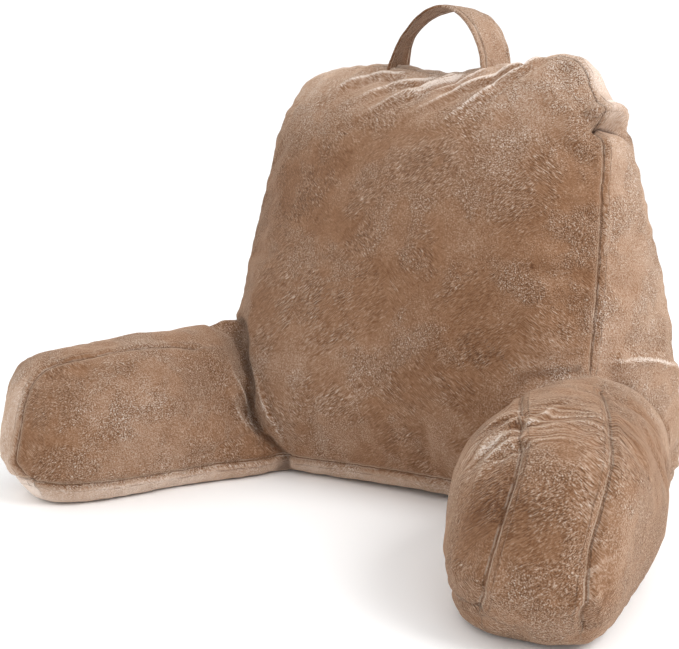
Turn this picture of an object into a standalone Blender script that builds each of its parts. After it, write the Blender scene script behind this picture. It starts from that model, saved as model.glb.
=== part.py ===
"""Reading pillow with arms: a filled backrest, two filled arms and a strap handle.

Units are metres, +Z is up and the seat faces -Y. The pillow stands on z = 0, and the origin is
on the floor at the middle of its footprint. Each filled piece is a boxed cushion: two crowned
panels joined by a band, with the seams drawn in between them.
"""
import bmesh
import bpy
from mathutils import Vector

# --- fit -------------------------------------------------------------------------------------
GAP = 0.0004                # air between pieces that are sewn together

# --- backrest --------------------------------------------------------------------------------
BACK_SEAM_LOW = 0.022       # height of the seam along its front foot
BACK_SEAM_TOP = 0.438       # height of the seam along its top
FRONT_LOW = 0.014           # y of the front seam at the floor
FRONT_LEAN = 0.277          # run of the front panel for each metre of rise
REAR_LOW = 0.219            # y of the back seam at the floor and at the top
REAR_TOP = 0.178
FRONT_HALF_LOW = 0.225      # half widths of the front panel and of the back panel
FRONT_HALF_TOP = 0.200
REAR_HALF_LOW = 0.264
REAR_HALF_TOP = 0.195
TOP_CORNER_POWER = 4.2      # higher is a tighter top corner
FRONT_CROWN = 0.040
REAR_CROWN = 0.022
SIDE_BAND_CROWN = 0.003
TOP_BAND_CROWN = 0.012

# --- arms ------------------------------------------------------------------------------------
ARM_SEAM_LOW = 0.022        # height of the lower seams
ARM_SPREAD = 0.038          # how much wider the underside is than the top, on each side
ARM_SEAM_AT_BACK = 0.151    # height of the upper seams where the arm leaves the backrest
ARM_SEAM_AT_END = 0.141     # height of the upper seams at the free end
ARM_FLARE = 0.026           # how far the foot of the inner panel runs out where it meets the backrest
ARM_FLATTER = 0.75          # how much of the inner panel's crown is lost there
ARM_DIP_INNER = 0.026       # how much lower the inner upper seam runs into the backrest
ARM_DIP_OUTER = 0.006       # how much lower the outer upper seam does
ARM_BAND = 0.068            # width of the band between the inner and the outer seam
ARM_INNER_CROWN = 0.042
ARM_OUTER_CROWN = 0.048
ARM_BAND_CROWN = 0.005
ARM_END_POWER = 3.8         # higher is a squarer free end
ARM_TAIL = 0.60             # part of the arm's length that starts inside the backrest

# The four corners of each arm's inner panel in plan, as x outwards and y: its lower seam where
# it leaves the backrest and at the free end, then its upper seam at the same two places, and
# how far the upper seam turns outwards where it meets the backrest.
ARMS = (
    # name, side, low at back, low at end, high at back, high at end, turn of the upper seam
    ("arm_right", 1, (0.181, 0.009), (0.253, -0.235), (0.201, -0.054), (0.269, -0.193), 0.006),
    ("arm_left", -1, (0.183, 0.009), (0.254, -0.239), (0.195, -0.060), (0.281, -0.189), 0.038),
)

# --- handle ----------------------------------------------------------------------------------
STRAP_WIDTH = 0.044
STRAP_THICKNESS = 0.0025
STRAP_Y = 0.155             # middle of the strap, over the middle of the top band
STRAP_STEPS = 8             # lengths of cloth between two points of its route
STRAP_ROUTE = (             # x and z along the middle of the strap, foot to foot
    (-0.058, 0.437), (-0.055, 0.453), (-0.045, 0.478), (-0.019, 0.499), (0.013, 0.504),
    (0.041, 0.490), (0.058, 0.464), (0.064, 0.437),
)

# --- cloth -----------------------------------------------------------------------------------
PANEL_POWER = 2.4           # a panel's crown is an arc of this power: 2 is a circle, more is flatter
PANEL_ARC = 0.94            # part of that arc which lies between the panel's seams
ARM_END_FULLNESS = 1.3      # higher keeps an arm's panels full nearer to the free end
BELLY = 0.09                # depth that an underside would hang to if no floor flattened it
BACKREST_CUTS = 19
ARM_CUTS = 14
PLUSH_COLOUR = (0.318, 0.186, 0.118, 1.0)
STRAP_COLOUR = (0.345, 0.210, 0.137, 1.0)
PLUSH_ROUGHNESS = 0.9
EDGE = 1.0 - 1e-6           # a grid coordinate beyond this lies on that side of the box


def clear_scene():
    """Remove every object of the start-up scene."""
    for obj in list(bpy.data.objects):
        bpy.data.objects.remove(obj, do_unlink=True)


def new_collection(name):
    """Add a collection to the scene."""
    made = bpy.data.collections.new(name)
    bpy.context.scene.collection.children.link(made)
    return made


def cloth_material(name, colour, roughness):
    """A Principled material for a cloth."""
    material = bpy.data.materials.new(name)
    material.use_nodes = True
    shader = material.node_tree.nodes["Principled BSDF"]
    shader.inputs["Base Color"].default_value = colour
    shader.inputs["Roughness"].default_value = roughness
    shader.inputs["Metallic"].default_value = 0.0
    material.diffuse_color = colour
    return material


def mix(start, end, part):
    """The value that lies the given part of the way from start to end."""
    return start + (end - start) * part


def smooth_step(part):
    """Ease from 0 to 1 while part goes from 0 to 1."""
    part = min(1.0, max(0.0, part))
    return part * part * (3.0 - 2.0 * part)


def round_corner(u, v, power):
    """Draw the corners of the square of side 2 inwards, so that its outline turns smoothly."""
    pull = 1.0 - (abs(u) ** power) * (abs(v) ** power) / (2.0 * power + 1.0)
    return u * pull, v * pull


def band_swell(u, v=0.0):
    """Height of a band's crown: 1 along its middle, 0 on its seams."""
    return max(0.0, (1.0 - u * u) * (1.0 - v * v)) ** 0.5


def panel_swell(u):
    """Height of a panel's crown from one seam to the other: 1 in the middle, 0 on the seams."""
    seam = (1.0 - PANEL_ARC ** PANEL_POWER) ** (1.0 / PANEL_POWER)
    here = (1.0 - abs(PANEL_ARC * u) ** PANEL_POWER) ** (1.0 / PANEL_POWER)
    return (here - seam) / (1.0 - seam)


def rest_on_floor(z, fullness):
    """Let an underside hang by BELLY, and flatten it where it meets the floor."""
    return max(0.0, z - BELLY * fullness)


def backrest_point(across, depth, rise):
    """Place a point of the unit box on the backrest, a wedge that leans back."""
    turn_x, turn_z = round_corner(across, max(rise, 0.0), TOP_CORNER_POWER)
    up = ((turn_z if rise > 0.0 else rise) + 1.0) / 2.0
    back = (depth + 1.0) / 2.0
    z = mix(BACK_SEAM_LOW, BACK_SEAM_TOP, up)
    front_half = mix(FRONT_HALF_LOW, FRONT_HALF_TOP, up)
    rear_half = mix(REAR_HALF_LOW, REAR_HALF_TOP, up)
    x = turn_x * mix(front_half, rear_half, back)
    y = mix(FRONT_LOW + FRONT_LEAN * z, mix(REAR_LOW, REAR_TOP, up), back)
    if depth < -EDGE:
        y -= FRONT_CROWN * panel_swell(across) * panel_swell(rise)
    if depth > EDGE:
        y += REAR_CROWN * panel_swell(across) * panel_swell(rise)
    if abs(across) > EDGE:
        x += across * SIDE_BAND_CROWN * band_swell(depth)
    if rise > EDGE:
        z += TOP_BAND_CROWN * band_swell(depth)
    if rise < -EDGE:
        z = rest_on_floor(z, band_swell(across, depth))
    return Vector((x, y, z))


def arm_placer(side, low_back, low_end, high_back, high_end, turn):
    """Return the function that places a point of the unit box on one arm."""
    low_back, low_end = Vector(low_back), Vector(low_end)
    high_back, high_end = Vector(high_back), Vector(high_end)
    along = (low_end + high_end - low_back - high_back).normalized()
    outwards = Vector((-along.y, along.x))

    def arm_point(length, thick, rise):
        turn_l, turn_z = round_corner(max(length, 0.0), rise, ARM_END_POWER)
        reach = mix(-ARM_TAIL, 1.0, ((turn_l if length > 0.0 else length) + 1.0) / 2.0)
        up = (turn_z + 1.0) / 2.0
        plan = mix(mix(low_back, low_end, reach), mix(high_back, high_end, reach), up)
        into_back = min(1.0, max(0.0, -0.15 - length) / 0.6)
        dip = mix(ARM_DIP_INNER, ARM_DIP_OUTER, (thick + 1.0) / 2.0) * into_back ** 1.5
        z = mix(ARM_SEAM_LOW, mix(ARM_SEAM_AT_BACK, ARM_SEAM_AT_END, reach) - dip, up)
        to_end = max(length, 0.0)
        spread = ARM_SPREAD * max(-rise, 0.0) ** 2 * (1.0 - to_end ** 3)
        at_back = smooth_step((0.2 - length) / 0.55)
        flare = ARM_FLARE * at_back * max(-rise, 0.0) ** 2 * (1.0 - thick) / 2.0
        turned = turn * smooth_step((-0.45 - length) / 0.45) * up * (1.0 - thick) / 2.0
        out = ARM_BAND * (thick + 1.0) / 2.0 + thick * spread - flare + turned
        full = panel_swell(to_end ** ARM_END_FULLNESS) * panel_swell(rise)
        if thick < -EDGE:
            out -= ARM_INNER_CROWN * full * (1.0 - ARM_FLATTER * at_back)
        if thick > EDGE:
            out += ARM_OUTER_CROWN * full
        plan = plan + outwards * out
        if length > EDGE:
            plan = plan + along * ARM_BAND_CROWN * band_swell(thick)
        if rise > EDGE:
            z += ARM_BAND_CROWN * band_swell(thick)
        if rise < -EDGE:
            z = rest_on_floor(z, band_swell(thick) * (1.0 - to_end ** 4))
        return Vector((side * plan.x, plan.y, z))

    return arm_point


def add_object(name, shape, material, group):
    """Turn a bmesh into a smooth-shaded object in a collection."""
    mesh = bpy.data.meshes.new(name)
    shape.to_mesh(mesh)
    shape.free()
    mesh.materials.append(material)
    mesh.shade_smooth()
    mesh.set_sharp_from_angle(angle=1.0)
    obj = bpy.data.objects.new(name, mesh)
    group.objects.link(obj)
    return obj


def boxed_cushion(name, cuts, place, material, group, grow=0.0):
    """Shape a subdivided box into a cushion, and swell it by grow along its normals."""
    shape = bmesh.new()
    bmesh.ops.create_cube(shape, size=2.0)
    bmesh.ops.subdivide_edges(shape, edges=shape.edges[:], cuts=cuts, use_grid_fill=True)
    for vert in shape.verts:
        vert.co = place(*vert.co)
    bmesh.ops.triangulate(shape, faces=shape.faces[:], quad_method='FIXED')
    bmesh.ops.recalc_face_normals(shape, faces=shape.faces[:])
    shape.normal_update()
    swollen = [vert.co + vert.normal * grow for vert in shape.verts]
    for vert, spot in zip(shape.verts, swollen):
        vert.co = spot
    return add_object(name, shape, material, group)


def cut_away(obj, cutter):
    """Take the cutter's space out of an object, with an exact Boolean."""
    cut = obj.modifiers.new("sewn_edge", 'BOOLEAN')
    cut.operation = 'DIFFERENCE'
    cut.solver = 'EXACT'
    cut.object = cutter


def smooth_route(points, steps):
    """Points and directions along a Catmull-Rom curve through the points."""
    route = [Vector(point) for point in points]
    ends = [2.0 * route[0] - route[1]] + route + [2.0 * route[-1] - route[-2]]
    places = []
    for before, start, end, after in zip(ends, ends[1:], ends[2:], ends[3:]):
        for step in range(steps):
            t = step / steps
            curve = (2.0 * start + (end - before) * t
                     + (2.0 * before - 5.0 * start + 4.0 * end - after) * t * t
                     + (3.0 * start - before - 3.0 * end + after) * t ** 3)
            places.append(curve * 0.5)
    places.append(route[-1])
    return places


def strap_handle(name, material, group):
    """A flat strap that stands in a loop, thickened from an open sheet."""
    route = smooth_route(STRAP_ROUTE, STRAP_STEPS)
    last = len(route) - 1
    sheet = bmesh.new()
    bmesh.ops.create_grid(sheet, x_segments=last, y_segments=4, size=1.0)
    for vert in sheet.verts:
        spot = route[round((vert.co.x + 1.0) / 2.0 * last)]
        y = STRAP_Y + vert.co.y * STRAP_WIDTH / 2.0
        vert.co = Vector((spot.x, y, spot.y))
    bmesh.ops.recalc_face_normals(sheet, faces=sheet.faces[:])
    obj = add_object(name, sheet, material, group)
    thick = obj.modifiers.new("webbing", 'SOLIDIFY')
    thick.thickness = STRAP_THICKNESS
    thick.offset = 0.0
    return obj


def build():
    """Make the four pieces of the pillow and the cutter that fits them to each other."""
    clear_scene()
    pillow = new_collection("reading_pillow")
    cutters = new_collection("cutters")
    plush = cloth_material("plush", PLUSH_COLOUR, PLUSH_ROUGHNESS)
    webbing = cloth_material("strap_plush", STRAP_COLOUR, PLUSH_ROUGHNESS)

    boxed_cushion("backrest", BACKREST_CUTS, backrest_point, plush, pillow)
    fit = boxed_cushion("backrest_fit", BACKREST_CUTS, backrest_point, plush, cutters, GAP)
    fit.hide_render = True
    fit.display_type = 'WIRE'

    for name, side, *corners in ARMS:
        arm = boxed_cushion(name, ARM_CUTS, arm_placer(side, *corners), plush, pillow)
        cut_away(arm, fit)
    cut_away(strap_handle("handle", webbing, pillow), fit)


build()
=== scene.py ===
"""Looks of the reading pillow with arms: one padded velour cover and its strap handle."""
import math

import bmesh
import bpy
import numpy as np
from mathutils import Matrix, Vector, noise
from mathutils.bvhtree import BVHTree
from mathutils.kdtree import KDTree


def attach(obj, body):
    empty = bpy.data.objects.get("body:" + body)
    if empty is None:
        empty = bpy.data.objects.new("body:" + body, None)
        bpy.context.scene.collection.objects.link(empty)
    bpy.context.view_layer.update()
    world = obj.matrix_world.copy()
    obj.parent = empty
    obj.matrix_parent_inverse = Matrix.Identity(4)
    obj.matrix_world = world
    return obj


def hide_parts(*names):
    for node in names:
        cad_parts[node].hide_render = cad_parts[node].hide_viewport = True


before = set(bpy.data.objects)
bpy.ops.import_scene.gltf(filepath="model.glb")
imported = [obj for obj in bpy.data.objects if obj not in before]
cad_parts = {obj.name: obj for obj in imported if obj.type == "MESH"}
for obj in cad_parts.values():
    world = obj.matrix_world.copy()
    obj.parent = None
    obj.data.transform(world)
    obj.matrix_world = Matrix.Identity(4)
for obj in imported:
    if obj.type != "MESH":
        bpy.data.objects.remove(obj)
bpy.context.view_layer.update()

# --- camera ----------------------------------------------------------------------------------
CAMERA_SPOT = (0.564, -0.8225, 0.3476)
CAMERA_TURN = 35.7          # degrees from looking along +Y, towards +X
CAMERA_DIP = 9.44           # degrees below level
CAMERA_LENS = 53.45         # mm, for a picture 36 mm wide

# --- the filled pieces, in the sizes of the frame --------------------------------------------
BACK_SEAM_LOW = 0.022       # height of the seam along its front foot
BACK_SEAM_TOP = 0.438       # height of the seam along its top
FRONT_LOW = 0.014           # y of the front seam at the floor
FRONT_LEAN = 0.277          # run of the front panel for each metre of rise
REAR_LOW = 0.219            # y of the back seam at the floor and at the top
REAR_TOP = 0.178
FRONT_HALF_LOW = 0.225      # half widths of the front panel and of the back panel
FRONT_HALF_TOP = 0.200
REAR_HALF_LOW = 0.264
REAR_HALF_TOP = 0.195
TOP_CORNER_POWER = 4.2      # higher is a tighter top corner
FRONT_CROWN = 0.040
REAR_CROWN = 0.022
SIDE_BAND_CROWN = 0.003
TOP_BAND_CROWN = 0.012

ARM_SEAM_LOW = 0.022        # height of the lower seams
ARM_SPREAD = 0.038          # how much wider the underside is than the top, on each side
ARM_SEAM_AT_BACK = 0.151    # height of the upper seams where the arm leaves the backrest
ARM_SEAM_AT_END = 0.141     # height of the upper seams at the free end
ARM_FLARE = 0.026           # how far the foot of the inner panel runs out where it meets the backrest
ARM_FLATTER = 0.75          # how much of the inner panel's crown is lost there
ARM_DIP_INNER = 0.026       # how much lower the inner upper seam runs into the backrest
ARM_DIP_OUTER = 0.006       # how much lower the outer upper seam does
ARM_BAND = 0.068            # width of the band between the inner and the outer seam
ARM_INNER_CROWN = 0.042
ARM_OUTER_CROWN = 0.048
ARM_BAND_CROWN = 0.005
ARM_END_POWER = 3.8         # higher is a squarer free end
ARM_TAIL = 0.60             # part of the arm's length that starts inside the backrest
# Along an arm's unit box, -1 is its back inside the backrest and 1 its free end. These say where a
# change starts on the way to the back, and over what run it grows to its full size.
ARM_DIP_FROM = -0.15
ARM_DIP_RUN = 0.60
ARM_DIP_POWER = 1.5
ARM_FLARE_FROM = 0.20
ARM_FLARE_RUN = 0.55
ARM_TURN_FROM = -0.45
ARM_TURN_RUN = 0.45
ARM_SEAMS_FROM = -0.4       # the arm's seams start here, still hidden in the backrest
ARMS = (
    # side, low at back, low at end, high at back, high at end: corners of the inner panel,
    # and how far its upper seam turns outwards where it meets the backrest
    (1, (0.181, 0.009), (0.253, -0.235), (0.201, -0.054), (0.269, -0.193), 0.006),
    (-1, (0.183, 0.009), (0.254, -0.239), (0.195, -0.060), (0.281, -0.189), 0.038),
)
PANEL_POWER = 2.4           # a panel's crown is an arc of this power: 2 is a circle, more is flatter
PANEL_ARC = 0.94            # part of that arc which lies between the panel's seams
ARM_END_FULLNESS = 1.3      # higher keeps an arm's panels full nearer to the free end
BELLY = 0.09                # depth that an underside would hang to if no floor flattened it
EDGE = 1.0 - 1e-6           # a grid coordinate beyond this lies on that side of the box

# --- cover -----------------------------------------------------------------------------------
SHAPE_CUTS = 60
VOXEL = 0.0068              # edge of the skin's quads before they are divided once more
RELAX = 0.5                 # part of the way that one round of smoothing moves a vertex
RELAX_ROUNDS = 8
RELAX_ABOVE = 0.002         # the flat underside is left out of it
FOOT_ROUNDS = 14            # further smoothing of the feet, which are rounder than their boxes
FOOT_HEIGHT = 0.045
CLOTH = {                   # the filling's pressure on a cloth that is cut 4 % larger than its form
    "quality": 5, "mass": 0.3, "tension_stiffness": 15.0, "compression_stiffness": 15.0,
    "shear_stiffness": 5.0, "bending_stiffness": 0.8, "pin_stiffness": 1.0,
    "use_pressure": True, "uniform_pressure_force": 4.0, "shrink_min": -0.04,
}
CLOTH_FRAMES = 20
MOVE_CAP = 0.008            # furthest that the filling pushes the cloth
SEAM_HOLD = 0.007           # how far from a seam the cloth is held back
FLOOR_HOLD = 0.003          # below this the floor holds it
LEAST_HOLD = 0.01           # a weaker hold than this is none

STEP = 0.002                # distance between two points along a seam
FAR = 0.05                  # offsets from seams and folds are kept within this
SEAM_REACH = 0.010          # a seam further than this from the skin is hidden inside the pillow
SEAM_IN_PANEL = 0.90        # where a seam's panel and band are looked for, towards the box's middle
SEAM_IN_BAND = 0.85
SEAM_SHIFT = 0.37           # start of each seam's run after the last one's, so their puckers differ
SEAM_WIDTH = 0.0030
SEAM_DEPTH = 0.0020
SEAM_LIP = 0.0010
SEAM_LIP_AT = 2.2           # distance of the lip from the seam, in seam widths
TOP_SEAM_BACK = 0.55        # how far back the front panel wraps over the top, as a part of the band
PUCKER_PITCH = 0.012
PUCKER_HEIGHT = 0.0012
PUCKER_START = 0.004        # puckers grow to this distance from the seam
PUCKER_REACH = 0.014        # and fade by this one

CREASE_WIDTH = 0.006
CREASE_DEPTH = 0.006
CREASE_TOP = 0.20           # the creases beside the arms lie below this height,
CREASE_BACK = 0.16          # in front of this y,
CREASE_INNER = 0.09         # and further out than this x
CREASE_OPENS = 1.6          # higher counts a shallow angle between arm and backrest as a crease
RIGHT_CREASE_SHADE = 0.3          # the right crease is open, and its painted shade is this much as dark as the left one's
UNDER_BULGE = 0.002         # how far the cloth bulges between the base seam and the floor
UNDER_BULGE_AT = 0.011
UNDER_BULGE_REACH = 0.008
SETTLED = 0.008             # below this height the floor takes the relief away
LUMPINESS = (               # waves for each metre, and height, of the filling's unevenness
    (11.0, 0.0030),
    (34.0, 0.0010),
)

FOLD_STEPS = 16             # points between two given places of a fold
FOLD_TAPER = 0.7            # lower keeps a fold that starts at a seam full for longer
FOLD_REACH = 5.0            # how far a fold reaches, in half widths
FOLD_CREST_REACH = 3.0      # how far its crest's line does
FOLD_FURROW = 0.65          # depth of the furrow beside a fold, as a part of its height
FOLD_FURROW_AT = 1.7        # its distance from the crest, in half widths
FOLD_FULL = 0.006           # from this height on, a fold's crest gets its full painted highlight, and a notch this deep its full painted shade

# How much lighter an area is painted, as painted light and sheen where the light falls on it: 0.1 is
# slight and 0.3 is strong.
ARM_BAND_PAINTED_LIGHT = 0.05
BACK_BAND_PAINTED_LIGHT = 0.18
BASE_BAND_PAINTED_LIGHT = 0.29
LEFT_END_PAINTED_LIGHT = 0.29
TOP_PAINTED_LIGHT = 0.26
PAINTED_LIGHT_BLUR_FROM = 0.018       # the areas blend into each other further than this from any seam
PAINTED_LIGHT_BLUR_ROUNDS = 80


def mix(start, end, part):
    """The value that lies the given part of the way from start to end."""
    return start + (end - start) * part


def smooth_step(part):
    """Ease from 0 to 1 while part goes from 0 to 1."""
    part = min(1.0, max(0.0, part))
    return part * part * (3.0 - 2.0 * part)


def round_corner(u, v, power):
    """Draw the corners of the square of side 2 inwards, so that its outline turns smoothly."""
    pull = 1.0 - (abs(u) ** power) * (abs(v) ** power) / (2.0 * power + 1.0)
    return u * pull, v * pull


def band_swell(u, v=0.0):
    """Height of a band's crown: 1 along its middle, 0 on its seams."""
    return max(0.0, (1.0 - u * u) * (1.0 - v * v)) ** 0.5


def panel_swell(u):
    """Height of a panel's crown from one seam to the other: 1 in the middle, 0 on the seams."""
    seam = (1.0 - PANEL_ARC ** PANEL_POWER) ** (1.0 / PANEL_POWER)
    here = (1.0 - abs(PANEL_ARC * u) ** PANEL_POWER) ** (1.0 / PANEL_POWER)
    return (here - seam) / (1.0 - seam)


def rest_on_floor(z, fullness):
    """Let an underside hang by BELLY, and flatten it where it meets the floor."""
    return max(0.0, z - BELLY * fullness)


def backrest_point(across, depth, rise):
    """Place a point of the unit box on the backrest, a wedge that leans back."""
    turn_x, turn_z = round_corner(across, max(rise, 0.0), TOP_CORNER_POWER)
    up = ((turn_z if rise > 0.0 else rise) + 1.0) / 2.0
    back = (depth + 1.0) / 2.0
    z = mix(BACK_SEAM_LOW, BACK_SEAM_TOP, up)
    front_half = mix(FRONT_HALF_LOW, FRONT_HALF_TOP, up)
    rear_half = mix(REAR_HALF_LOW, REAR_HALF_TOP, up)
    x = turn_x * mix(front_half, rear_half, back)
    y = mix(FRONT_LOW + FRONT_LEAN * z, mix(REAR_LOW, REAR_TOP, up), back)
    if depth < -EDGE:
        y -= FRONT_CROWN * panel_swell(across) * panel_swell(rise)
    if depth > EDGE:
        y += REAR_CROWN * panel_swell(across) * panel_swell(rise)
    if abs(across) > EDGE:
        x += across * SIDE_BAND_CROWN * band_swell(depth)
    if rise > EDGE:
        z += TOP_BAND_CROWN * band_swell(depth)
    if rise < -EDGE:
        z = rest_on_floor(z, band_swell(across, depth))
    return Vector((x, y, z))


def arm_placer(side, low_back, low_end, high_back, high_end, turn):
    """Return the function that places a point of the unit box on one arm."""
    low_back, low_end = Vector(low_back), Vector(low_end)
    high_back, high_end = Vector(high_back), Vector(high_end)
    along = (low_end + high_end - low_back - high_back).normalized()
    outwards = Vector((-along.y, along.x))

    def arm_point(length, thick, rise):
        turn_l, turn_z = round_corner(max(length, 0.0), rise, ARM_END_POWER)
        reach = mix(-ARM_TAIL, 1.0, ((turn_l if length > 0.0 else length) + 1.0) / 2.0)
        up = (turn_z + 1.0) / 2.0
        plan = mix(mix(low_back, low_end, reach), mix(high_back, high_end, reach), up)
        into_back = min(1.0, max(0.0, ARM_DIP_FROM - length) / ARM_DIP_RUN)
        dip = mix(ARM_DIP_INNER, ARM_DIP_OUTER, (thick + 1.0) / 2.0) * into_back ** ARM_DIP_POWER
        z = mix(ARM_SEAM_LOW, mix(ARM_SEAM_AT_BACK, ARM_SEAM_AT_END, reach) - dip, up)
        to_end = max(length, 0.0)
        spread = ARM_SPREAD * max(-rise, 0.0) ** 2 * (1.0 - to_end ** 3)
        at_back = smooth_step((ARM_FLARE_FROM - length) / ARM_FLARE_RUN)
        flare = ARM_FLARE * at_back * max(-rise, 0.0) ** 2 * (1.0 - thick) / 2.0
        turning = smooth_step((ARM_TURN_FROM - length) / ARM_TURN_RUN)
        turned = turn * turning * up * (1.0 - thick) / 2.0
        out = ARM_BAND * (thick + 1.0) / 2.0 + thick * spread - flare + turned
        full = panel_swell(to_end ** ARM_END_FULLNESS) * panel_swell(rise)
        if thick < -EDGE:
            out -= ARM_INNER_CROWN * full * (1.0 - ARM_FLATTER * at_back)
        if thick > EDGE:
            out += ARM_OUTER_CROWN * full
        plan = plan + outwards * out
        if length > EDGE:
            plan = plan + along * ARM_BAND_CROWN * band_swell(thick)
        if rise > EDGE:
            z += ARM_BAND_CROWN * band_swell(thick)
        if rise < -EDGE:
            z = rest_on_floor(z, band_swell(thick) * (1.0 - to_end ** 4))
        return Vector((side * plan.x, plan.y, z))

    return arm_point


right_arm_point, left_arm_point = [arm_placer(side, *corners) for side, *corners in ARMS]
CUSHIONS = (backrest_point, right_arm_point, left_arm_point)


def on_face(place, axis, side):
    """Return the function that places (u, v) on one face of a cushion's unit box."""
    def place_on_face(u, v):
        spot = [u, v]
        spot.insert(axis, side)
        return place(*spot)
    return place_on_face


FACES = {
    "front": on_face(backrest_point, 1, -1),
    "side": on_face(backrest_point, 0, 1),
    "right_inner": on_face(right_arm_point, 1, -1),
    "right_top": on_face(right_arm_point, 2, 1),
    "right_outer": on_face(right_arm_point, 1, 1),
    "left_inner": on_face(left_arm_point, 1, -1),
}
FOLDS = (
    # face, places (u, v) along the fold, height, half width, and 1 if it starts full, at a seam;
    # a negative height is a notch
    ("front", ((0.60, 1.0), (0.40, 0.87), (0.16, 0.68)), 0.0060, 0.0055, 1),
    ("front", ((0.50, 1.0), (0.25, 0.89), (-0.07, 0.75)), 0.0060, 0.0055, 1),
    ("front", ((0.17, 1.0), (0.00, 0.91), (-0.18, 0.81)), 0.0045, 0.0045, 1),
    ("front", ((0.12, 1.0), (-0.10, 0.87), (-0.40, 0.72)), 0.0055, 0.0050, 1),
    ("front", ((0.30, 1.0), (0.12, 0.92), (-0.06, 0.84)), 0.0035, 0.0040, 1),
    ("front", ((0.00, 1.0), (-0.22, 0.91), (-0.46, 0.81)), 0.0045, 0.0045, 1),
    ("front", ((-0.20, 1.0), (-0.44, 0.95), (-0.60, 0.84)), 0.0045, 0.0055, 1),
    ("side", ((-1.1, 0.73), (-0.45, 0.73), (0.24, 0.70), (0.8, 0.68)), -0.0210, 0.0075, 1),
    ("side", ((-0.95, 0.84), (-0.45, 0.85), (0.1, 0.82)), 0.0030, 0.0100, 0),
    ("side", ((-1.0, -0.34), (-0.48, -0.35), (0.13, -0.38), (0.62, -0.44), (1.0, -0.53)),
     0.0040, 0.0085, 0),
    ("right_inner", ((0.44, 1.0), (0.48, 0.88), (0.59, 0.58)), 0.0040, 0.0055, 1),
    ("right_inner", ((0.74, 1.0), (0.78, 0.74), (0.86, 0.36)), 0.0040, 0.0055, 1),
    ("right_inner", ((0.58, 1.0), (0.62, 0.82), (0.72, 0.56)), 0.0030, 0.0045, 1),
    ("right_inner", ((0.24, 1.0), (0.30, 0.84), (0.40, 0.60)), 0.0030, 0.0050, 1),
    ("right_top", ((0.44, -1.0), (0.47, -0.71), (0.26, -0.11), (0.30, 0.55), (0.50, 0.92)),
     0.0030, 0.0045, 1),
    ("right_top", ((0.66, -1.0), (0.60, -0.15), (0.58, 0.48), (0.76, 0.90)), 0.0022, 0.0045, 1),
    ("right_outer", ((1.0, -0.24), (0.97, -0.14), (0.90, -0.08), (0.80, -0.02)), 0.0026, 0.0060, 1),
    ("right_outer", ((1.0, -0.40), (0.97, -0.30), (0.90, -0.22), (0.82, -0.16)), 0.0022, 0.0050, 1),
    ("right_outer", ((1.0, -0.56), (0.97, -0.48), (0.90, -0.40), (0.80, -0.34)), 0.0026, 0.0060, 1),
    ("front", ((-0.85, -0.40), (-0.66, -0.64), (-0.54, -0.84), (-0.49, -1.00)), 0.0032, 0.0034, 0),
    ("left_inner", ((-0.70, 0.95), (-0.54, 0.51), (-0.48, 0.0), (-0.39, -0.55), (-0.39, -0.96)),
     0.0038, 0.0036, 0),
    ("left_inner", ((-0.43, 0.29), (-0.36, -0.34), (-0.31, -0.90)), 0.0034, 0.0036, 0),
)
LUMPS = (
    # middle, reach and move of each place where the filling sits fuller or slacker than the form
    ((0.015, 0.150, 0.452), 0.055, (0.0, 0.0, -0.013)),
    ((0.100, 0.150, 0.452), 0.025, (0.0, 0.0, -0.008)),
    ((0.155, 0.140, 0.445), 0.045, (0.0, 0.0, 0.009)),
    ((0.200, 0.170, 0.415), 0.035, (-0.005, 0.0, -0.003)),
    ((-0.150, 0.130, 0.435), 0.060, (-0.003, 0.0, 0.004)),
    ((-0.205, 0.100, 0.300), 0.080, (-0.003, 0.0, 0.0)),
    ((0.245, 0.190, 0.160), 0.110, (0.010, 0.0, 0.0)),
    ((-0.200, 0.020, 0.155), 0.040, (0.0, 0.0, 0.016)),
    ((-0.290, -0.130, 0.145), 0.060, (0.002, 0.0, -0.005)),
    ((-0.220, -0.100, 0.000), 0.100, (0.002, -0.004, 0.0)),
    ((-0.275, -0.235, 0.015), 0.035, (-0.006, -0.006, 0.0)),
    ((0.060, 0.012, 0.000), 0.100, (0.0, 0.015, 0.004)),
    ((0.345, -0.130, 0.075), 0.060, (-0.012, 0.0, 0.0)),
    ((0.325, -0.200, 0.020), 0.045, (0.012, -0.006, 0.0)),
    ((0.275, -0.235, 0.010), 0.050, (0.003, -0.006, 0.0)),
    ((0.225, -0.200, 0.045), 0.050, (-0.002, 0.000, 0.0)),
)
SHADES = (
    # middle, reach and amount of each wide area made lighter or darker: partly the pile's brushed
    # patches, partly painted light and painted shade
    ((0.110, 0.100, 0.370), 0.100, 0.10),
    ((0.150, 0.130, 0.440), 0.060, -0.08),
    ((0.215, 0.160, 0.400), 0.060, 0.10),
    ((0.175, 0.035, 0.143), 0.030, 0.16),
    ((-0.210, -0.110, 0.060), 0.090, 0.22),
    ((-0.080, 0.020, 0.110), 0.100, 0.14),
    ((0.110, 0.030, 0.120), 0.080, 0.12),
    ((0.112, 0.022, 0.145), 0.055, -0.13),
    ((0.193, 0.047, 0.169), 0.040, 0.12),
    ((0.106, 0.013, 0.070), 0.030, 0.10),
    ((-0.175, 0.078, 0.298), 0.050, -0.12),
    ((-0.149, 0.122, 0.417), 0.040, 0.10),
    ((0.220, -0.160, 0.122), 0.028, 0.30),
    ((0.252, -0.202, 0.104), 0.024, -0.18),
    ((0.340, -0.165, 0.100), 0.050, 0.14),
)
GATHERS = (
    # middle, reach and strength of each place where the cloth is gathered into fine folds
    ((0.240, -0.135, 0.140), 0.055, 1.0),
    ((0.285, -0.110, 0.150), 0.045, 0.8),
)


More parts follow.
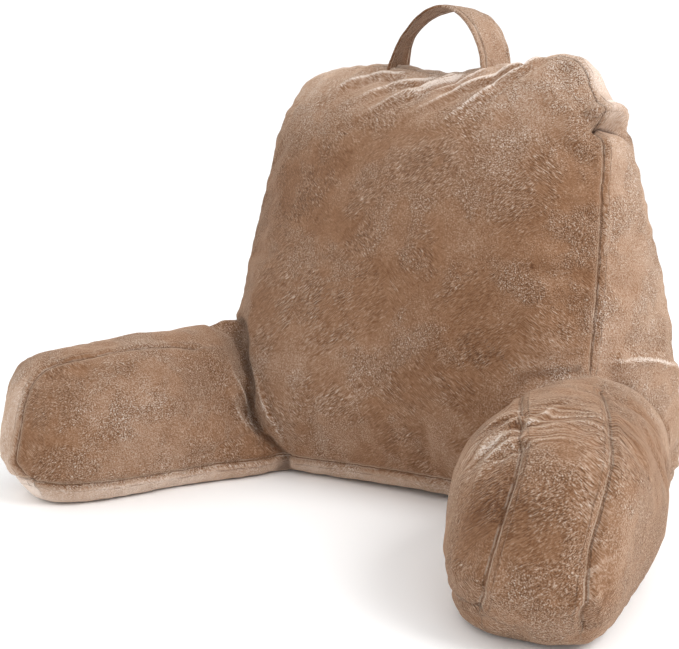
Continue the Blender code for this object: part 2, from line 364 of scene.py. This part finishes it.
def boxed_cushion(place):
    """A mesh of a finely subdivided box, shaped into a cushion by place."""
    shape = bmesh.new()
    bmesh.ops.create_cube(shape, size=2.0)
    bmesh.ops.subdivide_edges(shape, edges=shape.edges[:], cuts=SHAPE_CUTS, use_grid_fill=True)
    for vert in shape.verts:
        vert.co = place(*vert.co)
    bmesh.ops.recalc_face_normals(shape, faces=shape.faces[:])
    return as_mesh("cushion", shape)


def as_object(name, mesh):
    """Put a mesh into the scene as an object."""
    mesh.name = name
    obj = bpy.data.objects.new(name, mesh)
    bpy.context.scene.collection.objects.link(obj)
    return obj


def as_mesh(name, shape):
    """Turn a bmesh into a mesh."""
    mesh = bpy.data.meshes.new(name)
    shape.to_mesh(mesh)
    shape.free()
    return mesh


def settle_modifiers(obj):
    """Apply all of an object's modifiers."""
    graph = bpy.context.evaluated_depsgraph_get()
    mesh = bpy.data.meshes.new_from_object(obj.evaluated_get(graph), depsgraph=graph)
    obj.modifiers.clear()
    obj.data = mesh


def places_of(mesh):
    """The places of a mesh's vertices, one row each."""
    flat = np.empty(len(mesh.vertices) * 3)
    mesh.vertices.foreach_get("co", flat)
    return flat.reshape(-1, 3)


def normals_of(mesh):
    """The normals of a mesh's vertices, one row each."""
    flat = np.empty(len(mesh.vertices) * 3)
    mesh.vertex_normals.foreach_get("vector", flat)
    return flat.reshape(-1, 3)


def skin_tree(mesh):
    """A search tree of a mesh's surface."""
    shape = bmesh.new()
    shape.from_mesh(mesh)
    tree = BVHTree.FromBMesh(shape)
    shape.free()
    return tree


def move_to(mesh, places):
    """Move a mesh's vertices to new places, none of them below the floor."""
    places[:, 2] = np.maximum(places[:, 2], 0.0)
    mesh.vertices.foreach_set("co", places.ravel())
    mesh.update()


def one_skin(name, cushions):
    """Join the overlapping cushions into one skin of even quads, as one object."""
    shape = bmesh.new()
    for cushion in cushions:
        shape.from_mesh(cushion)
    obj = as_object(name, as_mesh(name, shape))
    remesh = obj.modifiers.new("skin", 'REMESH')
    remesh.mode = 'VOXEL'
    remesh.voxel_size = VOXEL
    settle_modifiers(obj)
    return obj


def relax(obj, rounds, low, high):
    """Smooth the part of a mesh that lies between two heights."""
    shape = bmesh.new()
    shape.from_mesh(obj.data)
    free = [vert for vert in shape.verts if low < vert.co.z < high]
    for _ in range(rounds):
        bmesh.ops.smooth_vert(shape, verts=free, factor=RELAX,
                              use_axis_x=True, use_axis_y=True, use_axis_z=True)
    shape.to_mesh(obj.data)
    shape.free()


def seam_runs():
    """Each seam as its cushion's placing function, its box positions and whether it is a base seam."""
    runs = []
    for place in CUSHIONS:
        is_arm = place is not backrest_point
        for side in (-1, 1):
            if is_arm:
                corners = [(ARM_SEAMS_FROM, side, 1), (1, side, 1), (1, side, -1),
                           (ARM_SEAMS_FROM, side, -1)]
            else:
                corners = [(-1, side, -1), (-1, side, 1), (1, side, 1), (1, side, -1), (-1, side, -1)]
            if place is right_arm_point and side == 1:
                corners.pop()
            for start, end in zip(corners, corners[1:]):
                runs.append((place, start, end, start[2] == end[2] == -1))
        if place is left_arm_point:
            runs.append((place, (1, -1, -1), (1, 1, -1), True))
        if not is_arm:
            runs.append((place, (-1, -1, -1), (-1, 1, -1), True))
            runs.append((place, (1, -1, -1), (1, 1, -1), True))
    return runs


def seam_marks(skin):
    """Points along every seam that shows.

    Each is its place, the direction towards the band, the run, and whether it is a base seam and
    whether it is one of the backrest's.
    """
    marks = []
    for number, (place, start, end, is_base) in enumerate(seam_runs()):
        start, end = Vector(start), Vector(end)
        count = int((place(*end) - place(*start)).length / STEP) * 2 + 8
        run = SEAM_SHIFT * number
        before = None
        for step in range(count + 1):
            spot = start.lerp(end, step / count)
            if place is backrest_point and spot.y == -1.0 and spot.z == 1.0:
                spot.y += TOP_SEAM_BACK * (1.0 - spot.x ** 4)
            here = place(*spot)
            if is_base:
                under = place(SEAM_IN_PANEL * spot.x, SEAM_IN_PANEL * spot.y, spot.z)
                towards = under - place(spot.x, spot.y, SEAM_IN_PANEL * spot.z)
            else:
                in_band = place(spot.x, SEAM_IN_BAND * spot.y, spot.z)
                towards = in_band - place(SEAM_IN_PANEL * spot.x, spot.y, SEAM_IN_PANEL * spot.z)
            found, _, _, gap = skin.find_nearest(here)
            run += (here - before).length if before else 0.0
            before = here
            if gap < SEAM_REACH:
                marks.append((found, towards.normalized(), run, is_base, place is backrest_point))
    return marks


def offsets_from(marks, places):
    """Each place's signed distance to the nearest seam mark, the run there, and whose seam it is.

    The distance is positive towards the band, and the last value is 1 on the backrest.
    """
    tree = KDTree(len(marks))
    for index, mark in enumerate(marks):
        tree.insert(mark[0], index)
    tree.balance()
    offsets = np.empty(len(places))
    runs = np.empty(len(places))
    on_back = np.empty(len(places))
    for index, place in enumerate(places):
        spot, near, gap = tree.find(place)
        side = (Vector(place) - spot).dot(marks[near][1])
        offsets[index] = math.copysign(min(gap, FAR), side)
        runs[index] = marks[near][2]
        on_back[index] = marks[near][4]
    return offsets, runs, on_back


def smooth_route(points, steps):
    """Places along a Catmull-Rom curve through the points."""
    route = [Vector(point) for point in points]
    ends = [2.0 * route[0] - route[1]] + route + [2.0 * route[-1] - route[-2]]
    places = []
    for before, start, end, after in zip(ends, ends[1:], ends[2:], ends[3:]):
        for step in range(steps):
            t = step / steps
            curve = (2.0 * start + (end - before) * t
                     + (2.0 * before - 5.0 * start + 4.0 * end - after) * t * t
                     + (3.0 * start - before - 3.0 * end + after) * t ** 3)
            places.append(curve * 0.5)
    places.append(route[-1])
    return places


def lay_folds(places, skin):
    """What the folds do to each place: its rise, its offset from a crest, and the fold's strength."""
    rise = np.zeros(len(places))
    crest = np.full(len(places), FAR)
    force = np.zeros(len(places))
    for face, points, height, width, from_seam in FOLDS:
        route = smooth_route(points, FOLD_STEPS)
        spots = [skin.find_nearest(FACES[face](*spot)) for spot in route]
        line = np.array([spot[0] for spot in spots])
        normal = np.array([spot[1] for spot in spots])
        side = np.cross(normal, np.gradient(line, axis=0))
        side /= np.linalg.norm(side, axis=1)[:, None]
        part = np.linspace(0.0, 1.0, len(line))
        if from_seam:
            taper = np.cos(part * math.pi / 2.0) ** FOLD_TAPER
        else:
            taper = np.sin(part * math.pi)
        low = line.min(axis=0) - FOLD_REACH * width
        high = line.max(axis=0) + FOLD_REACH * width
        near = np.flatnonzero(np.all((places > low) & (places < high), axis=1))
        apart = places[near][:, None, :] - line[None, :, :]
        gaps = np.linalg.norm(apart, axis=2)
        closest = gaps.argmin(axis=1)
        rows = np.arange(len(near))
        gap = gaps[rows, closest]
        off = np.einsum("ij,ij->i", apart[rows, closest], side[closest])
        past_end = np.sqrt(np.maximum(gap ** 2 - off ** 2, 0.0))
        strength = taper[closest] * np.exp(-(past_end / width) ** 2)
        furrow = np.exp(-((off - FOLD_FURROW_AT * width) / width) ** 2)
        rise[near] += height * strength * (np.exp(-(off / width) ** 2) - FOLD_FURROW * furrow)
        closer = (np.abs(off) < np.abs(crest[near])) & (gap < FOLD_CREST_REACH * width)
        crest[near[closer]] = off[closer]
        force[near[closer]] = strength[closer] * max(-1.0, min(1.0, height / FOLD_FULL))
    return rise, crest, force


def crease_depth(places, cushions):
    """How deep each place lies in the valley between an arm and the backrest, from 0 to 1."""
    back_tree, right_tree, left_tree = [skin_tree(cushion) for cushion in cushions]
    depth = np.zeros(len(places))
    for index, place in enumerate(places):
        if place[2] > CREASE_TOP or place[1] > CREASE_BACK or abs(place[0]) < CREASE_INNER:
            continue
        back = back_tree.find_nearest(place)
        arm = (right_tree if place[0] > 0.0 else left_tree).find_nearest(place)
        turn = max(0.0, 1.0 - back[1].dot(arm[1]))
        apart = arm[3] - back[3]
        width = CREASE_WIDTH * (2.0 if apart < 0.0 else 1.0)
        depth[index] = math.exp(-(apart / width) ** 2) * min(1.0, turn * CREASE_OPENS)
    return depth


def inflate(obj, held):
    """Let the filling press the cover outwards, held back at its seams and by the floor."""
    pins = obj.vertex_groups.new(name="held")
    for index in np.flatnonzero(held > LEAST_HOLD):
        pins.add([int(index)], float(held[index]), 'REPLACE')
    cloth = obj.modifiers.new("cover_cloth", 'CLOTH')
    for name, value in CLOTH.items():
        setattr(cloth.settings, name, value)
    cloth.settings.effector_weights.gravity = 0.0
    cloth.settings.vertex_group_mass = "held"
    start = places_of(obj.data)
    for step in range(1, CLOTH_FRAMES + 1):
        bpy.context.scene.frame_set(step)
    settle_modifiers(obj)
    moved = places_of(obj.data) - start
    length = np.linalg.norm(moved, axis=1)[:, None]
    move_to(obj.data, start + moved * np.minimum(1.0, MOVE_CAP / np.maximum(length, 1e-9)))
    bpy.context.scene.frame_set(1)


def keep(mesh, name, values):
    """Store one number for each vertex under a name that a material can read."""
    layer = mesh.attributes.new(name, 'FLOAT', 'POINT')
    layer.data.foreach_set("value", values.astype(np.float32))


def blurred(mesh, values, free, rounds):
    """Values averaged with their neighbours' over and over, at the free vertices only."""
    ends = np.empty(len(mesh.edges) * 2, dtype=np.int32)
    mesh.edges.foreach_get("vertices", ends)
    start, end = ends[0::2], ends[1::2]
    count = np.bincount(ends, minlength=len(values))
    for _ in range(rounds):
        total = (np.bincount(start, weights=values[end], minlength=len(values))
                 + np.bincount(end, weights=values[start], minlength=len(values)))
        values = np.where(free, total / count, values)
    return values


def ramp(values, start, end):
    """Go evenly from 0 to 1 while values go from start to end."""
    return np.clip((values - start) / (end - start), 0.0, 1.0)


def nearness(places, middle, reach, power=2):
    """1 at the middle, fading to 0 beyond the reach; a higher power keeps it full for longer."""
    apart = np.linalg.norm(places - np.array(middle), axis=1)
    return np.exp(-(apart / reach) ** power)


def seam_rise(off, along):
    """How the cloth rises and sinks about a seam: its groove, two lips and the puckers beside it."""
    gap = np.abs(off)
    waves = np.array([noise.noise(Vector((run / PUCKER_PITCH, 0.0, 7.0))) for run in along])
    puckered = np.exp(-(gap / PUCKER_REACH) ** 2) * (1.0 - np.exp(-(gap / PUCKER_START) ** 2))
    rise = -SEAM_DEPTH * np.exp(-(gap / SEAM_WIDTH) ** 2)
    rise += SEAM_LIP * np.exp(-((gap - SEAM_LIP_AT * SEAM_WIDTH) / SEAM_WIDTH) ** 2)
    rise += PUCKER_HEIGHT * waves * puckered
    return rise


def painted_light_and_nap(places, seam, hem, on_back):
    """How much lighter or darker the colour is made at each place than its middle tone.

    The bands, the band at the foot as far as the right arm, the left arm's free end and the top of
    the backrest are painted lighter, as painted light and sheen where the light falls on them, and
    SHADES adds wide areas of its own, partly the pile's brushed patches and partly painted light and
    shade.
    """
    x, y, z = places.T
    nap_and_painted_light = ramp(seam, 0.0, 0.008) * mix(ARM_BAND_PAINTED_LIGHT, BACK_BAND_PAINTED_LIGHT, on_back)
    nap_and_painted_light += BASE_BAND_PAINTED_LIGHT * ramp(hem, 0.0, 0.006) * ramp(x, 0.22, 0.19)
    nap_and_painted_light += LEFT_END_PAINTED_LIGHT * ramp(seam, 0.0, 0.006) * (x < 0.0) * ramp(y, -0.17, -0.20)
    nap_and_painted_light += TOP_PAINTED_LIGHT * ramp(z, 0.36, 0.44)
    for middle, reach, amount in SHADES:
        nap_and_painted_light += amount * nearness(places, middle, reach)
    return nap_and_painted_light


def filled_skin(cushions):
    """The skin over all cushions, pressed outwards by the filling and divided once more."""
    obj = one_skin("cover", cushions)
    relax(obj, RELAX_ROUNDS, RELAX_ABOVE, math.inf)
    relax(obj, FOOT_ROUNDS, -math.inf, FOOT_HEIGHT)
    places = places_of(obj.data)
    offsets = offsets_from(seam_marks(skin_tree(obj.data)), places)[0]
    held = np.exp(-(offsets / SEAM_HOLD) ** 2)
    held[places[:, 2] < FLOOR_HOLD] = 1.0
    inflate(obj, held)
    finer = obj.modifiers.new("finer", 'SUBSURF')
    finer.levels = finer.render_levels = 1
    settle_modifiers(obj)
    return obj


def build_cover():
    """The padded cover of the backrest and both arms, with what its material reads at each vertex."""
    cushions = [boxed_cushion(place) for place in CUSHIONS]
    obj = filled_skin(cushions)
    mesh = obj.data
    places = places_of(mesh)
    skin = skin_tree(mesh)
    marks = seam_marks(skin)
    seam, run, on_back = offsets_from([mark for mark in marks if not mark[3]], places)
    hem, hem_run, _ = offsets_from([mark for mark in marks if mark[3]], places)
    valley = crease_depth(places, cushions)

    rise, crest, force = lay_folds(places, skin)
    rise += seam_rise(seam, run) + seam_rise(hem, hem_run)
    for waves, height in LUMPINESS:
        rise += height * np.array([noise.noise(Vector(place) * waves) for place in places])
    rise -= CREASE_DEPTH * valley
    rise += UNDER_BULGE * np.exp(-((places[:, 2] - UNDER_BULGE_AT) / UNDER_BULGE_REACH) ** 2)
    rise *= ramp(places[:, 2], 0.0, SETTLED)
    moves = np.zeros(places.shape)
    for middle, reach, move in LUMPS:
        moves += nearness(places, middle, reach)[:, None] * np.array(move)
    move_to(mesh, places + normals_of(mesh) * rise[:, None] + moves)

    gather = np.zeros(len(places))
    for middle, reach, strength in GATHERS:
        gather = np.maximum(gather, strength * nearness(places, middle, reach, power=4))
    away_from_seams = np.minimum(np.abs(seam), np.abs(hem)) > PAINTED_LIGHT_BLUR_FROM
    # painted light and sheen on the bands, the top and the SHADES areas, blurred away from the seams
    nap_and_painted_light = blurred(mesh, painted_light_and_nap(places, seam, hem, on_back), away_from_seams, PAINTED_LIGHT_BLUR_ROUNDS)
    keep(mesh, "nap_and_painted_light", nap_and_painted_light)
    keep(mesh, "seam", seam)
    keep(mesh, "base_seam", hem)
    keep(mesh, "crest", crest)
    # the fold mark sets how strong the painted highlight on a crest, or the painted shade in a notch,
    # is
    keep(mesh, "fold", force)
    # the valley mark paints shade into the creases beside the arms, weaker in the open right one
    keep(mesh, "valley", valley * np.where(places[:, 0] > 0.0, RIGHT_CREASE_SHADE, 1.0))
    keep(mesh, "gather", gather)
    return obj


def linear(code):
    """An sRGB hex value as a linear colour."""
    parts = [int(code[i:i + 2], 16) / 255.0 for i in (1, 3, 5)]
    return [p / 12.92 if p <= 0.04045 else ((p + 0.055) / 1.055) ** 2.4 for p in parts] + [1.0]


def add_node(tree, kind, settings, inputs, output=0):
    """Add a node with its settings, give its sockets values or links, and return one output.

    The inputs are a row in the order of the sockets, or a dict by their names or numbers.
    """
    node = tree.nodes.new("ShaderNode" + kind)
    for name, value in settings.items():
        setattr(node, name, value)
    for key, value in (inputs.items() if isinstance(inputs, dict) else enumerate(inputs)):
        if isinstance(value, bpy.types.NodeSocket):
            tree.links.new(value, node.inputs[key])
        else:
            node.inputs[key].default_value = value
    return node.outputs[output]


# --- velour ----------------------------------------------------------------------------------
# Settings of the nodes that do sums. A smooth one takes a value, the two ends of the value's range
# and what it gives at each end.
PLUS = {"operation": 'ADD'}
MINUS = {"operation": 'SUBTRACT'}
TIMES = {"operation": 'MULTIPLY'}
TIMES_PLUS = {"operation": 'MULTIPLY_ADD'}
WITHOUT_SIGN = {"operation": 'ABSOLUTE'}
SMOOTH = {"interpolation_type": 'SMOOTHSTEP'}
BLEND = {"data_type": 'FLOAT'}
COLOUR_BLEND = {"data_type": 'RGBA'}

VELOUR_MARKS = ("nap_and_painted_light", "seam", "base_seam", "crest", "fold", "valley", "gather")
VELOUR_CLOUDS = (
    # name, size in metres, detail, and shift of each cloudy pattern so that no two line up.
    # Cut pile stands in tufts about 0.5 mm apart, too fine to show, which lean together in clumps:
    # the pebbles are those clumps, drawn 1.3 mm wide. The wide ones are where a hand brushed it.
    ("pebbles", 0.0013, 1.0, 0.0),
    ("broken", 0.018, 2.0, 9.4),
    ("marbling", 0.022, 3.0, 1.3),
    ("calm", 0.050, 2.0, 5.2),
    ("bend", 0.060, 1.0, 2.2),
    ("patch", 0.065, 3.0, 3.1),
    ("lean", 0.110, 1.0, 7.7),
)
STREAK_TURNS = (-38.0, 35.0)    # degrees about the front panel's normal, of the two ways it is brushed
STREAK_SCALE = (0.0060, 0.0015, 0.0010)     # clumps drawn out to 6 mm along the way the pile lies
GATHER_WAY = (0.33, -0.94, 0.50)            # across the gathered folds on the right arm
GATHER_PITCH = 0.0040                       # from one of them to the next
GATHER_BEND = 0.012                         # how far they wander
STITCH_AT = 0.007           # distance of the line of stitches from its seam, on the band
MIDDLE_TONE = 0.40
PILE_TONES = (              # from the tufts seen end on to those seen from the side
    (0.0, "#52301a"), (0.28, "#6c482e"), (0.48, "#846147"), (0.70, "#a68b77"), (1.0, "#dccdc2"),
)
# painted shade in the creases beside the arms
CREASE_SHADE_TONE = "#2e180c"
# painted shade along the crest of a notch
NOTCH_SHADE_TONE = "#3a2114"
SEAM_TONE = "#4f3220"
# painted shade along the sunk line of stitches
STITCH_SHADE_TONE = "#5a3c28"
# painted highlight on the lips beside the seams
LIP_HIGHLIGHT_TONE = "#d9c5b4"
SHEEN_TONE = "#efd3ba"


def velour():
    """Velour: knitted polyester with a short cut pile, which lies in patches where a hand brushed it.

    To the eye that is a pebbly grain, streaks along the way the pile lies, lighter and darker patches
    and a pale sheen at glancing angles. Painted on it are light and sheen on the bands and the top,
    highlights along fold crests and seam lips, light and shade across gathered folds, and shade in the
    creases, notches and stitches.
    """
    material = bpy.data.materials.new("velour")
    material.use_nodes = True
    tree = material.node_tree
    shader = tree.nodes["Principled BSDF"]
    coords = add_node(tree, "TexCoord", {}, {}, "Object")
    mark = {}
    for name in VELOUR_MARKS:
        mark[name] = add_node(tree, "Attribute", {"attribute_name": name}, {}, "Fac")
    cloud = {}
    for name, size, detail, shift in VELOUR_CLOUDS:
        moved = add_node(tree, "Mapping", {}, {"Vector": coords, "Location": (shift, shift, shift)})
        cloud[name] = add_node(tree, "TexNoise", {}, {
            "Vector": moved, "Scale": 1.0 / size, "Detail": detail, "Roughness": 0.6})
    streaks = []
    for turn in STREAK_TURNS:
        lined_up = add_node(tree, "Mapping", {"vector_type": 'TEXTURE'}, {
            "Vector": coords, "Rotation": (0.0, math.radians(turn), 0.0), "Scale": STREAK_SCALE})
        streaks.append(add_node(tree, "TexNoise", {}, {
            "Vector": lined_up, "Scale": 1.0, "Detail": 1.5, "Roughness": 0.55, "Distortion": 0.25}))

    # The grain: one of the two streaks, or pebbles where the pile stands up.
    way = add_node(tree, "MapRange", SMOOTH, (cloud["lean"], 0.47, 0.55, 0.0, 1.0))
    streaky = add_node(tree, "Mix", BLEND, {0: way, 2: streaks[0], 3: streaks[1]})
    standing = add_node(tree, "MapRange", SMOOTH, (cloud["patch"], 0.46, 0.56, 0.15, 0.85))
    grain = add_node(tree, "Mix", BLEND, {0: standing, 2: streaky, 3: cloud["pebbles"]})
    rough = add_node(tree, "MapRange", SMOOTH, (cloud["calm"], 0.42, 0.56, 0.5, 1.0))
    # the grain is calmer where the painted light is strong
    calmer_where_lighter = add_node(tree, "MapRange", SMOOTH, (mark["nap_and_painted_light"], 0.22, 0.36, 1.0, 0.4))
    rough = add_node(tree, "Math", TIMES, (rough, calmer_where_lighter))
    across = add_node(tree, "VectorMath", {"operation": 'DOT_PRODUCT'}, (coords, GATHER_WAY), "Value")
    across = add_node(tree, "Math", TIMES_PLUS, (cloud["bend"], GATHER_BEND, across))
    ripples = add_node(tree, "TexNoise", {"noise_dimensions": '1D'}, {
        "W": across, "Scale": 1.0 / GATHER_PITCH, "Detail": 0.5})

    # The tone: the painted light and sheen of the bands, the top and the SHADES areas, then how each
    # pattern, by its contrast and where it shows, moves the pile's tone.
    tone = add_node(tree, "Math", PLUS, (mark["nap_and_painted_light"], MIDDLE_TONE))
    for pattern, contrast, where in (
        (cloud["patch"], 0.30, 1.0),
        (cloud["marbling"], 0.20, 1.0),
        (grain, 1.9, rough),
        # the gathered ripples: painted light and shade across the fine folds, beside their bump
        (ripples, 0.8, mark["gather"]),
    ):
        swing = add_node(tree, "Math", MINUS, (pattern, 0.5))
        swing = add_node(tree, "Math", TIMES, (swing, where))
        tone = add_node(tree, "Math", TIMES_PLUS, (swing, contrast, tone))
    # Painted highlight along the crests of the folds, stronger on higher folds.
    crest = add_node(tree, "Math", WITHOUT_SIGN, (mark["crest"],))
    crest = add_node(tree, "MapRange", SMOOTH, (crest, 0.0003, 0.0034, 1.0, 0.0))
    crest_highlight = add_node(tree, "MapRange", SMOOTH, (mark["fold"], 0.05, 0.9, 0.0, 0.42))
    tone = add_node(tree, "Math", TIMES_PLUS, (crest, crest_highlight, tone))
    colour = add_node(tree, "ValToRGB", {}, (tone,))
    tones = colour.node.color_ramp.elements
    for place, shade in PILE_TONES[1:-1]:
        tones.new(place)
    for stop, (place, shade) in zip(tones, PILE_TONES):
        stop.color = linear(shade)

    # What darkens or lightens it, in order: painted shade in the creases, painted highlights on the
    # seam lips, the darker seam grooves, painted shade along the stitches and in the notches; and the
    # relief: each row's height is in metres.
    shades = [(add_node(tree, "MapRange", SMOOTH, (mark["valley"], 0.4, 1.0, 0.0, 0.6)), CREASE_SHADE_TONE)]
    reliefs = [
        (add_node(tree, "Math", TIMES, (rough, grain)), 0.0036),
        (cloud["marbling"], 0.0015),
        (add_node(tree, "Math", TIMES, (mark["gather"], ripples)), 0.0042),
    ]
    broken = add_node(tree, "MapRange", SMOOTH, (cloud["broken"], 0.42, 0.58, 0.0, 1.0))
    for name in ("seam", "base_seam"):
        gap = add_node(tree, "Math", WITHOUT_SIGN, (mark[name],))
        # Painted highlight on the lips beside each seam, broken up along it.
        lip_highlight = add_node(tree, "MapRange", SMOOTH, (gap, 0.0005, 0.0013, 0.0, 0.40))
        lip_end = add_node(tree, "MapRange", SMOOTH, (gap, 0.0013, 0.0026, 1.0, 0.0))
        lip_highlight = add_node(tree, "Math", TIMES, (lip_highlight, lip_end))
        shades.append((add_node(tree, "Math", TIMES, (lip_highlight, broken)), LIP_HIGHLIGHT_TONE))
        groove = add_node(tree, "MapRange", SMOOTH, (gap, 0.0002, 0.0008, 0.60, 0.0))
        shades.append((groove, SEAM_TONE))
        # Painted shade along the sunk line of stitches on the band, broken up so it shows in places.
        stitches = add_node(tree, "Math", MINUS, (mark[name], STITCH_AT))
        stitches = add_node(tree, "Math", WITHOUT_SIGN, (stitches,))
        stitches = add_node(tree, "MapRange", SMOOTH, (stitches, 0.0002, 0.0009, 1.0, 0.0))
        stitch_shade = add_node(tree, "Math", TIMES, (broken, 0.45))
        shades.append((add_node(tree, "Math", TIMES, (stitches, stitch_shade)), STITCH_SHADE_TONE))
        reliefs.append((stitches, -0.0006))
        sunk = add_node(tree, "MapRange", SMOOTH, (gap, 0.0004, 0.0022, -1.0, 0.0))
        reliefs.append((sunk, 0.0018))
    # Painted shade along the crest of a notch, where the cloth is sunk in.
    notch_shade = add_node(tree, "MapRange", SMOOTH, (mark["fold"], -0.1, -0.6, 0.0, 0.8))
    shades.append((add_node(tree, "Math", TIMES, (crest, notch_shade)), NOTCH_SHADE_TONE))
    for amount, shade in shades:
        colour = add_node(tree, "Mix", COLOUR_BLEND, {0: amount, 6: colour, 7: linear(shade)}, 2)
    relief = 0.0
    for pattern, height in reliefs:
        relief = add_node(tree, "Math", TIMES_PLUS, (pattern, height, relief))
    bump = add_node(tree, "Bump", {}, {"Strength": 1.0, "Distance": 1.0, "Height": relief})

    tree.links.new(colour, shader.inputs["Base Color"])
    tree.links.new(bump, shader.inputs["Normal"])
    shader.inputs["Roughness"].default_value = 0.85
    shader.inputs["Specular IOR Level"].default_value = 0.2
    shader.inputs["Sheen Weight"].default_value = 0.55
    shader.inputs["Sheen Roughness"].default_value = 0.45
    shader.inputs["Sheen Tint"].default_value = linear(SHEEN_TONE)
    return material


# --- strap handle ----------------------------------------------------------------------------
STRAP_WIDTH = 0.044
STRAP_THICKNESS = 0.0025
STRAP_Y = 0.155             # middle of the strap, over the middle of the top band
STRAP_ROUTE = (             # x and z along the middle of the strap, foot to foot
    (-0.058, 0.437), (-0.055, 0.453), (-0.045, 0.478), (-0.019, 0.499), (0.013, 0.504),
    (0.041, 0.490), (0.058, 0.464), (0.064, 0.437),
)
STRAP_STEPS = 12            # cross rows from one place of the route to the next
STRAP_ROWS = 22
STRAP_STITCH = 0.76         # where its stitches run, as a part of its half width
STRAP_STITCH_REACH = 0.05
STRAP_STITCH_DEPTH = 0.0009
STRAP_CROWN = 0.0012
STRAP_RIPPLE = 0.0006
STRAP_RIPPLES = 22.0        # how many along the strap
STRAP_LEFT = 0.3            # part of the way along at which its left leg bends
STRAP_LEFT_TWIST = 0.20     # how far its edges lean out of line there, and on its right leg
STRAP_RIGHT_TWIST = 0.26
STRAP_LEFT_NARROW = 0.10    # part of its width that the bend takes
STRAP_LEFT_SHADE = -0.16      # painted shade on its left leg and painted light on its right one, as in SHADES
STRAP_RIGHT_LIGHT = 0.22
STRAP_SHADE_RUN = 0.08      # higher makes the change between them slower


def strap_handle():
    """A flat strap of doubled velour in a loop, thickened from an open sheet."""
    route = smooth_route(STRAP_ROUTE, STRAP_STEPS)
    last = len(route) - 1
    shape = bmesh.new()
    bmesh.ops.create_grid(shape, x_segments=last, y_segments=STRAP_ROWS, size=1.0)
    for vert in shape.verts:
        part, side = (vert.co.x + 1.0) / 2.0, vert.co.y
        step = round(part * last)
        ahead = route[min(step + 1, last)] - route[max(step - 1, 0)]
        out = Vector((-ahead.y, ahead.x)).normalized()
        stitched = math.exp(-((abs(side) - STRAP_STITCH) / STRAP_STITCH_REACH) ** 2)
        puff = STRAP_CROWN * (1.0 - side ** 4) - STRAP_STITCH_DEPTH * stitched
        puff += STRAP_RIPPLE * noise.noise(Vector((part * STRAP_RIPPLES, side * 2.0, 1.0)))
        left_twist = STRAP_LEFT_TWIST * math.exp(-((part - STRAP_LEFT) / 0.15) ** 2)
        twist = mix(left_twist, STRAP_RIGHT_TWIST, smooth_step((part - 0.5) / 0.3))
        spot = route[step] + out * (puff + side * twist * STRAP_WIDTH / 2.0)
        narrow = 1.0 - STRAP_LEFT_NARROW * math.exp(-((part - STRAP_LEFT) / 0.18) ** 2)
        vert.co = Vector((spot.x, STRAP_Y + side * narrow * STRAP_WIDTH / 2.0, spot.y))
    bmesh.ops.recalc_face_normals(shape, faces=shape.faces[:])
    obj = as_object("strap", as_mesh("strap", shape))
    thick = obj.modifiers.new("doubled_cloth", 'SOLIDIFY')
    thick.thickness = STRAP_THICKNESS
    thick.offset = 0.0
    settle_modifiers(obj)
    places = places_of(obj.data)
    side = np.abs(places[:, 1] - STRAP_Y) / (STRAP_WIDTH / 2.0)
    keep(obj.data, "seam", np.minimum(-0.0002, -np.abs(side - STRAP_STITCH) * STRAP_WIDTH / 2.0))
    for name in ("base_seam", "crest"):
        keep(obj.data, name, np.full(len(places), -FAR))
    for name in ("fold", "valley", "gather"):
        keep(obj.data, name, np.zeros(len(places)))
    # painted shade on the strap's left leg and painted light on its right one
    keep(obj.data, "nap_and_painted_light", np.clip(places[:, 0] / STRAP_SHADE_RUN, STRAP_LEFT_SHADE, STRAP_RIGHT_LIGHT))
    return obj


# --- studio ----------------------------------------------------------------------------------
WORLD_LIGHT = 1.08
FLOOR_HALF = 30.0
LIGHTS = (
    # name, place, size and power of each soft light
    ("key", (1.5, 0.1, 1.4), 1.0, 24.0),
    ("fill", (-1.6, -1.2, 0.7), 1.6, 5.0),
)
LIGHTS_AIM = (0.0, 0.0, 0.2)


def light_and_floor():
    """A white paper floor, even white light all round, a soft key and a weak fill."""
    world = bpy.data.worlds.new("studio")
    bpy.context.scene.world = world
    world.use_nodes = True
    world.node_tree.nodes["Background"].inputs["Color"].default_value = (1, 1, 1, 1)
    world.node_tree.nodes["Background"].inputs["Strength"].default_value = WORLD_LIGHT
    shape = bmesh.new()
    bmesh.ops.create_grid(shape, x_segments=1, y_segments=1, size=FLOOR_HALF)
    floor = as_object("floor", as_mesh("floor", shape))
    paper = bpy.data.materials.new("floor_paper")
    paper.use_nodes = True
    paper.node_tree.nodes["Principled BSDF"].inputs["Base Color"].default_value = (1, 1, 1, 1)
    floor.data.materials.append(paper)
    for name, spot, size, power in LIGHTS:
        light = bpy.data.lights.new(name, 'AREA')
        light.size = size
        light.energy = power
        obj = bpy.data.objects.new(name, light)
        obj.location = spot
        towards = Vector(LIGHTS_AIM) - Vector(spot)
        obj.rotation_euler = towards.to_track_quat('-Z', 'Y').to_euler()
        bpy.context.scene.collection.objects.link(obj)


def place_camera():
    """A level-headed camera in front of the right arm, looking slightly down."""
    camera = bpy.data.cameras.new("camera")
    camera.lens = CAMERA_LENS
    obj = bpy.data.objects.new("camera", camera)
    obj.location = CAMERA_SPOT
    obj.rotation_euler = (math.radians(90.0 - CAMERA_DIP), 0.0, math.radians(CAMERA_TURN))
    bpy.context.scene.collection.objects.link(obj)
    bpy.context.scene.camera = obj
    bpy.context.scene.view_settings.view_transform = 'Standard'


plush = velour()
cover = build_cover()
cover.data.materials.append(plush)
cover.data.shade_smooth()
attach(cover, "root")
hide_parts("backrest", "arm_left", "arm_right")
strap = strap_handle()
strap.data.materials.append(plush)
strap.data.shade_smooth()
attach(strap, "root")
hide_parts("handle")
light_and_floor()
place_camera()
